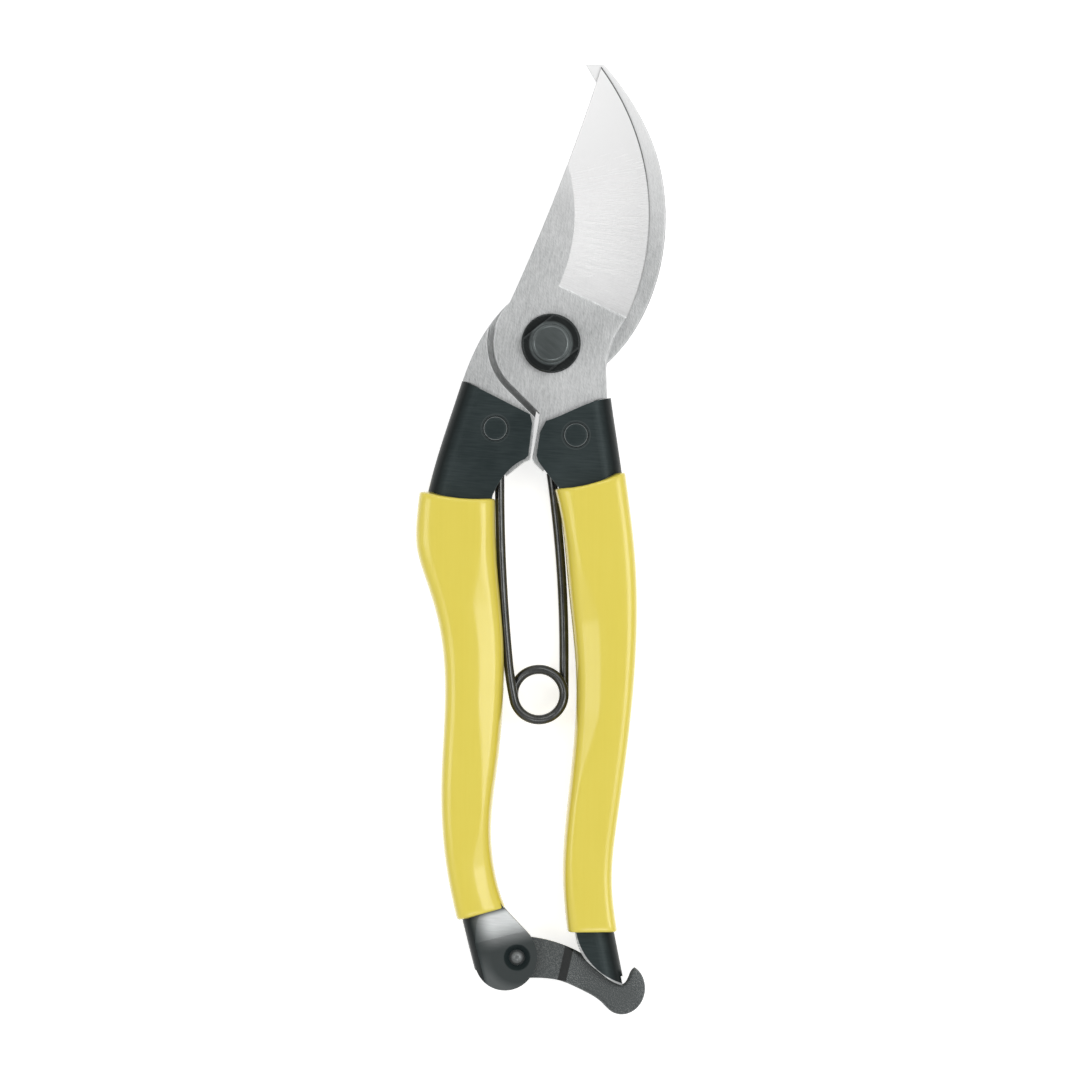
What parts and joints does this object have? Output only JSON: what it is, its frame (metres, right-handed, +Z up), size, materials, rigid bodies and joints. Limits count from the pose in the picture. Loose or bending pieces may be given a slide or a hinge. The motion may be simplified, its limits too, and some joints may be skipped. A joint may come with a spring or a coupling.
{
  "type": "pruning shears",
  "caption": "Bypass pruning shears with a curved blade and hook, pressed handles in soft sleeves, a looped wire spring between them and a hooked catch that holds them shut.",
  "frame": {"origin": "centre of the shears' box in plan, on the surface they lie on", "axes": "+Y towards the blade's tip, +Z up from the surface with the cutting blade on top, +X to the right seen from above"},
  "size_m": [0.0527, 0.2, 0.0138],
  "materials": {
    "steel": "brushed",
    "black_steel": "satin black",
    "dark_sheet": "satin dark slate",
    "sleeve": "glossy soft vinyl",
    "black_catch": "rough black",
    "rivet_steel": "peened",
    "spring_wire": "dark drawn wire"
  },
  "bodies": {
    "hook_handle": {"hook_blade": "steel", "left_handle_channel": "dark_sheet", "left_grip": "sleeve", "left_upper_rivet": "dark_sheet", "left_lower_rivet": "dark_sheet", "pivot_bolt": "black_steel", "pivot_head_washer": "black_steel", "pivot_lock_washer": "steel", "pivot_nut": "steel", "catch_rivet": "rivet_steel"},
    "blade_handle": {"cutting_blade": "steel", "right_handle_channel": "dark_sheet", "right_grip": "sleeve", "right_upper_rivet": "dark_sheet", "right_lower_rivet": "dark_sheet"},
    "catch": {"catch": "black_catch"},
    "spring": {"spring": "spring_wire"}
  },
  "joints": [
    {"name": "blade_pivot", "type": "hinge", "parent": "hook_handle", "child": "blade_handle", "pos_m": [0.00207, 0.0412, 0.0069], "axis": [0, 0, 1], "range_deg": [0, 25], "deforming": ["spring"]},
    {"name": "catch_swing", "type": "hinge", "parent": "hook_handle", "child": "catch", "pos_m": [-0.00509, -0.08794, 0.0069], "axis": [0, 0, -1], "range_deg": [0, 100]},
    {"name": "spring_spread", "type": "hinge", "parent": "hook_handle", "child": "spring", "pos_m": [0.00207, 0.0412, 0.0069], "axis": [0, 0, 1], "range_deg": [0, 12.5]}
  ],
  "couplings": [
    {"joint": "catch_swing", "follows": "blade_pivot", "ratio": 4},
    {"joint": "spring_spread", "follows": "blade_pivot", "ratio": 0.5}
  ]
}
